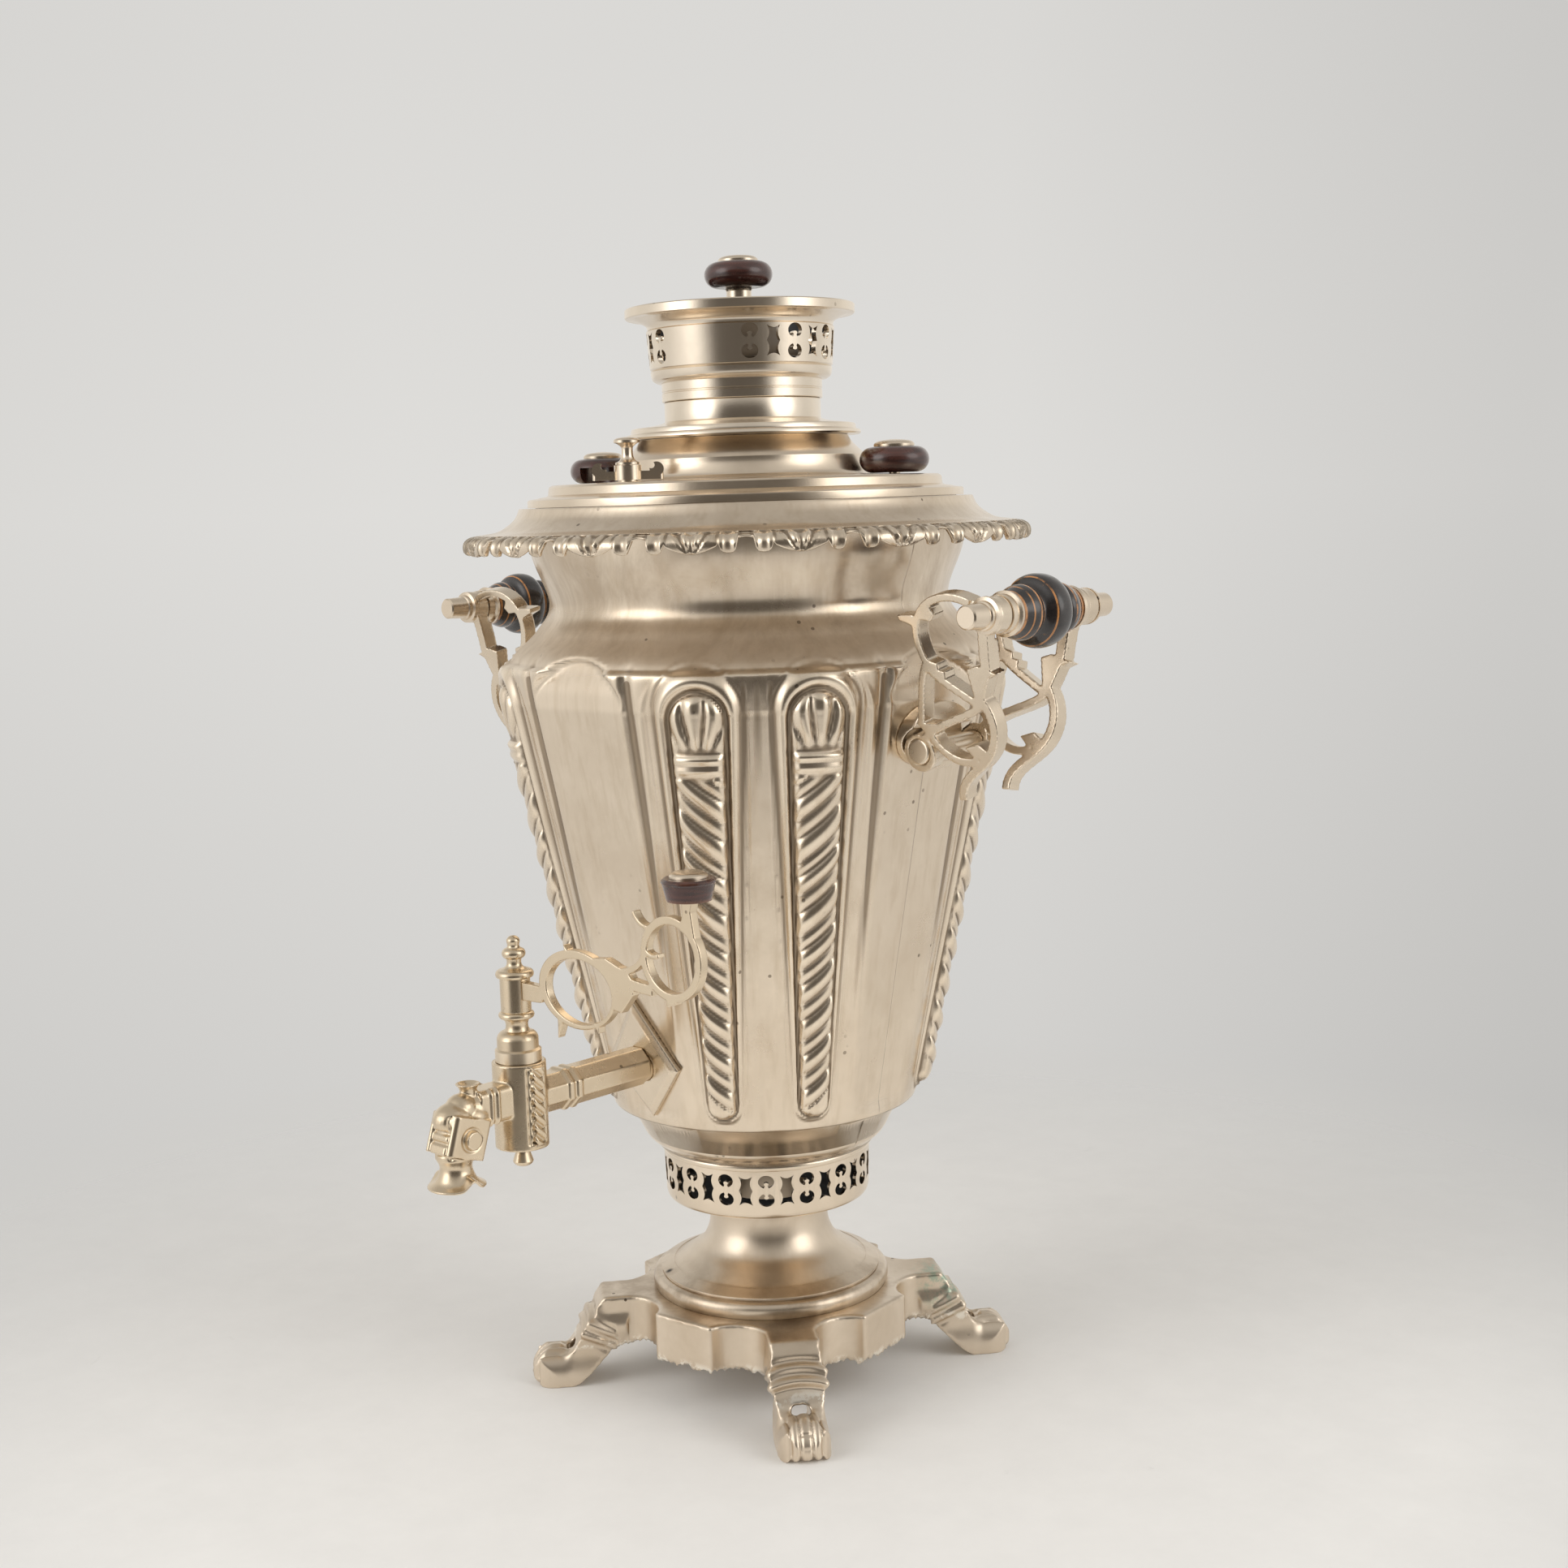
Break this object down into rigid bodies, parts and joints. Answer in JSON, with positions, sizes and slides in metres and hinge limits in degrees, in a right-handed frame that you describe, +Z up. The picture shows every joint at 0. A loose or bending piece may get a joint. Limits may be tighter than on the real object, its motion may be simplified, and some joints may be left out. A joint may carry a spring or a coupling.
{
  "type": "samovar",
  "caption": "Charcoal-fired samovar: tapering embossed tank on a lion-foot base, lift-off lid and pierced crown, plug tap with a scroll key, two wooden carrying grips.",
  "frame": {"origin": "on the surface it stands on, under the tank's axis", "axes": "+Z up along the tank's axis; the tap looks towards -Y; the carrying handles stand on +X and -X"},
  "size_m": [0.349, 0.3194, 0.5095],
  "materials": {
    "nickel": "worn warm nickel plating over brass, satin to bright, brown spots",
    "worn_brass": "nickel plating rubbed through to the brass at the edges",
    "lacquered_wood": "dark red-brown lacquer, glossy",
    "black_wood": "black lacquer, glossy, orange wood where the ridges are worn",
    "sooty_iron": "matt, sooty",
    "rubber": "matt"
  },
  "bodies": {
    "stand": {"base": "nickel", "pedestal": "nickel", "gallery": "nickel", "tank": "nickel", "fire_tube": "sooty_iron", "grate": "sooty_iron", "collar": "nickel", "tap_plate": "worn_brass", "tap_body": "worn_brass", "tap_washer": "rubber", "tap_nut": "nickel", "saddle_right": "nickel", "grip_right": "black_wood", "grip_rod_right": "nickel", "ferrules_right": "nickel", "grip_caps_right": "nickel", "bracket_front_right": "nickel", "bracket_back_right": "nickel", "saddle_left": "nickel", "grip_left": "black_wood", "grip_rod_left": "nickel", "ferrules_left": "nickel", "grip_caps_left": "nickel", "bracket_front_left": "nickel", "bracket_back_left": "nickel"},
    "tap_key": {"tap_key": "worn_brass", "key_screw": "worn_brass", "key_handle": "worn_brass", "key_knob": "lacquered_wood", "key_button": "nickel"},
    "lid": {"lid": "nickel", "lid_knob_right": "lacquered_wood", "lid_knob_left": "lacquered_wood", "lid_knob_screws": "nickel", "vent_seat": "nickel"},
    "vent_plug": {"vent_plug": "nickel"},
    "crown": {"crown_skirt": "nickel", "crown": "nickel"},
    "damper": {"damper": "nickel", "damper_stem": "nickel", "damper_knob": "lacquered_wood", "damper_screw": "nickel"}
  },
  "joints": [
    {"name": "tap_turn", "type": "hinge", "parent": "stand", "child": "tap_key", "pos_m": [0, -0.1455, 0.18], "axis": [0, 0, 1], "range_deg": [-180, 0]},
    {"name": "lid_lift", "type": "slide", "parent": "stand", "child": "lid", "axis": [0, 0, 1], "range_m": [0, 0.09]},
    {"name": "vent_lift", "type": "slide", "parent": "lid", "child": "vent_plug", "axis": [0, 0, 1], "range_m": [0, 0.008]},
    {"name": "crown_lift", "type": "slide", "parent": "lid", "child": "crown", "axis": [0, 0, 1], "range_m": [0, 0.06]},
    {"name": "damper_lift", "type": "slide", "parent": "crown", "child": "damper", "axis": [0, 0, 1], "range_m": [0, 0.06]}
  ]
}
